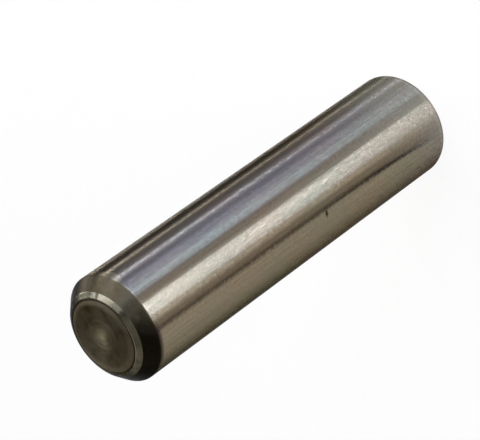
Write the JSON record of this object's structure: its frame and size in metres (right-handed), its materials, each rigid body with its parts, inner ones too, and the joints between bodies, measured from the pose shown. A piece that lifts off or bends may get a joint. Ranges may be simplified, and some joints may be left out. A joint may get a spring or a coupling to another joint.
{
  "type": "dowel pin",
  "caption": "Hardened cylindrical dowel pin with a ground shank, a chamfered and dished lead end, and a plain end with a rounded edge.",
  "frame": {"origin": "centre of the flat foot on the plain end, which the pin stands on", "axes": "+Z along the pin's axis, from the plain end towards the chamfered lead end; X and Y are across it, with the face's dish turned slightly off the axis towards +X and +Y"},
  "size_m": [0.012, 0.012, 0.05],
  "materials": {
    "ground_steel": "hardened steel, ground bright on the side, with dark heat-treated ends"
  },
  "bodies": {
    "root": {"dowel_pin": "ground_steel"}
  },
  "joints": []
}
